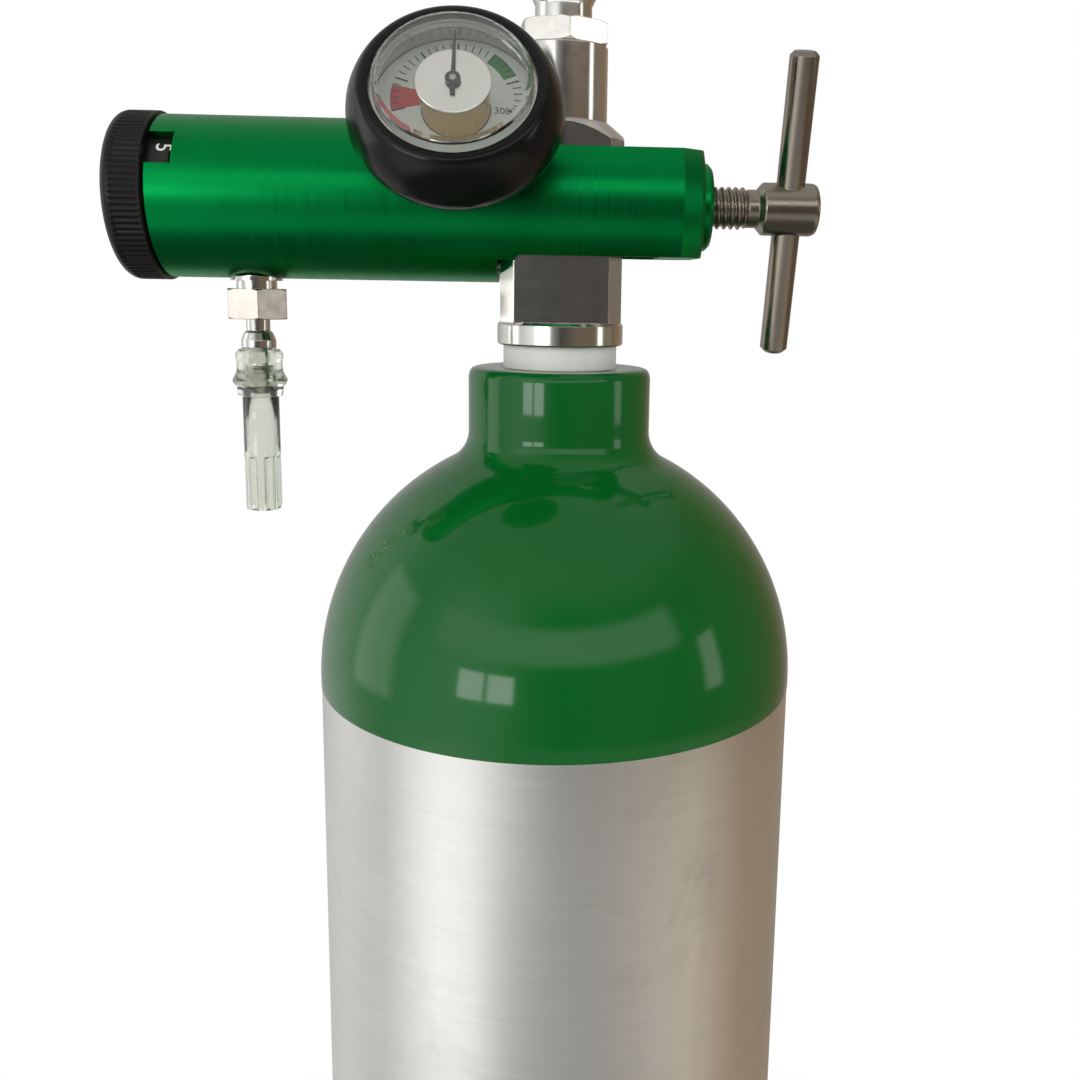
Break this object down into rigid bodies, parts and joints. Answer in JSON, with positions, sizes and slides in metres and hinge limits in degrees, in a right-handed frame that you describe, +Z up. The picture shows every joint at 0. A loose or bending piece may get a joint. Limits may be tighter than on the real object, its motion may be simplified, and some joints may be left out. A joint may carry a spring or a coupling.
{
  "type": "oxygen cylinder",
  "caption": "Portable medical oxygen cylinder: domed aluminium bottle, post valve with folding toggle, and a clamp-on barrel regulator with pressure gauge, flow knob and hose outlet.",
  "frame": {"origin": "centre of the flat base that the cylinder stands on", "axes": "+Z up the cylinder; +X along the regulator barrel towards its tee handle; the gauge looks towards -Y and up"},
  "size_m": [0.1554, 0.1112, 0.5389],
  "materials": {
    "shell_aluminium": "satin, brushed along the body; the shoulder and neck are painted gloss green over the same shell",
    "valve_chrome": "bright plated brass",
    "spacer_nylon": "natural nylon",
    "rubber_black": "soft black rubber",
    "gloss_rubber": "polished black rubber boot",
    "anodised_green": "satin green anodised",
    "screw_steel": "turned nickel-plated steel",
    "knob_plastic": "moulded black",
    "drum_plastic": "black with white printed numbers",
    "brass": "turned brass",
    "spring_steel": "drawn spring wire",
    "seat_polymer": "white polymer seat",
    "clear_vinyl": "clear soft vinyl",
    "gauge_steel": "plated steel",
    "clear_lens": "clear polycarbonate window",
    "dial_card": "pale printed dial",
    "disc_silver": "turned bright disc",
    "needle_black": "black pointer",
    "filter_bronze": "sintered bronze"
  },
  "bodies": {
    "root": {"cylinder_shell": "shell_aluminium", "neck_o_ring": "rubber_black", "neck_spacer": "spacer_nylon", "valve_body": "valve_chrome", "debris_tube": "disc_silver", "burst_disc": "brass", "safety_plug": "valve_chrome", "spindle_packing": "seat_polymer", "stem_nut": "valve_chrome", "regulator_barrel": "anodised_green", "index_pins": "screw_steel", "inlet_seal": "seat_polymer", "inlet_nipple": "brass", "inlet_filter": "filter_bronze", "piston_spring": "spring_steel", "regulator_seat": "seat_polymer", "orifice_plate": "brass", "flow_sleeve": "brass", "stack_o_rings": "rubber_black", "retaining_ring": "spring_steel", "detent_spring": "spring_steel", "outlet_stem": "valve_chrome", "outlet_washer": "valve_chrome", "outlet_nut": "screw_steel", "tail_seal": "seat_polymer", "hose_tail": "valve_chrome", "gauge_socket": "brass", "gauge_case": "gauge_steel", "gauge_boot": "gloss_rubber", "gauge_bezel": "gauge_steel", "gauge_lens": "clear_lens", "gauge_dial": "dial_card", "dial_rest": "drum_plastic", "gauge_drum": "brass", "drum_cap": "disc_silver", "bourdon_coil": "brass"},
    "spindle": {"valve_spindle": "valve_chrome", "toggle_pin": "screw_steel"},
    "plug": {"seat_plug": "brass", "seat_disc": "seat_polymer"},
    "toggle": {"toggle_lever": "valve_chrome"},
    "pad": {"thrust_pad": "screw_steel"},
    "screw": {"yoke_screw": "screw_steel", "tee_bar": "screw_steel"},
    "piston": {"piston": "brass", "piston_o_rings": "rubber_black"},
    "selector": {"flow_rotor": "brass", "rotor_o_rings": "rubber_black", "flow_number_drum": "drum_plastic", "flow_knob": "knob_plastic", "knob_screw": "screw_steel", "knob_cap": "knob_plastic"},
    "detent": {"detent_ball": "spring_steel"},
    "pointer": {"gauge_needle": "needle_black", "pointer_shaft": "screw_steel"},
    "tubing": {"tubing_collar": "clear_vinyl", "tubing_stub": "clear_vinyl"}
  },
  "joints": [
    {"name": "valve_turn", "type": "hinge", "parent": "root", "child": "spindle", "pos_m": [0, 0, 0.4559], "axis": [0, 0, 1], "range_deg": [-356, 181]},
    {"name": "seat_lift", "type": "slide", "parent": "spindle", "child": "plug", "axis": [0, 0, 1], "range_m": [-0.00128, 0.00065]},
    {"name": "toggle_fold", "type": "hinge", "parent": "spindle", "child": "toggle", "pos_m": [0, 0, 0.5059], "axis": [1, 0, 0], "range_deg": [-90, 90]},
    {"name": "pad_press", "type": "slide", "parent": "root", "child": "pad", "axis": [1, 0, 0], "range_m": [0, 0.0035]},
    {"name": "tee_turn", "type": "hinge", "parent": "pad", "child": "screw", "pos_m": [0.0521, 0, 0.4559], "axis": [1, 0, 0], "range_deg": [0, 795]},
    {"name": "piston_travel", "type": "slide", "parent": "root", "child": "piston", "axis": [1, 0, 0], "range_m": [-0.001, 0.0005], "stiffness_N_per_m": 12000, "deforming": ["piston_spring"]},
    {"name": "flow_select", "type": "hinge", "parent": "root", "child": "selector", "pos_m": [-0.08, 0, 0.4559], "axis": [1, 0, 0], "range_deg": [-210, 120]},
    {"name": "detent_click", "type": "slide", "parent": "root", "child": "detent", "axis": [-1, 0, 0], "range_m": [0, 0.0003], "stiffness_N_per_m": 300, "deforming": ["detent_spring"]},
    {"name": "needle_swing", "type": "hinge", "parent": "root", "child": "pointer", "pos_m": [-0.0215, 0, 0.4559], "axis": [0, -0.8695, 0.4939], "range_deg": [-105, 105], "stiffness_Nm_per_rad": 0.0005},
    {"name": "tubing_pull", "type": "slide", "parent": "root", "child": "tubing", "axis": [0, 0, -1], "range_m": [0, 0.012]}
  ],
  "couplings": [
    {"joint": "valve_turn", "follows": "seat_lift", "rad_per_m": 4833.2},
    {"joint": "tee_turn", "follows": "pad_press", "rad_per_m": 3957.9}
  ]
}
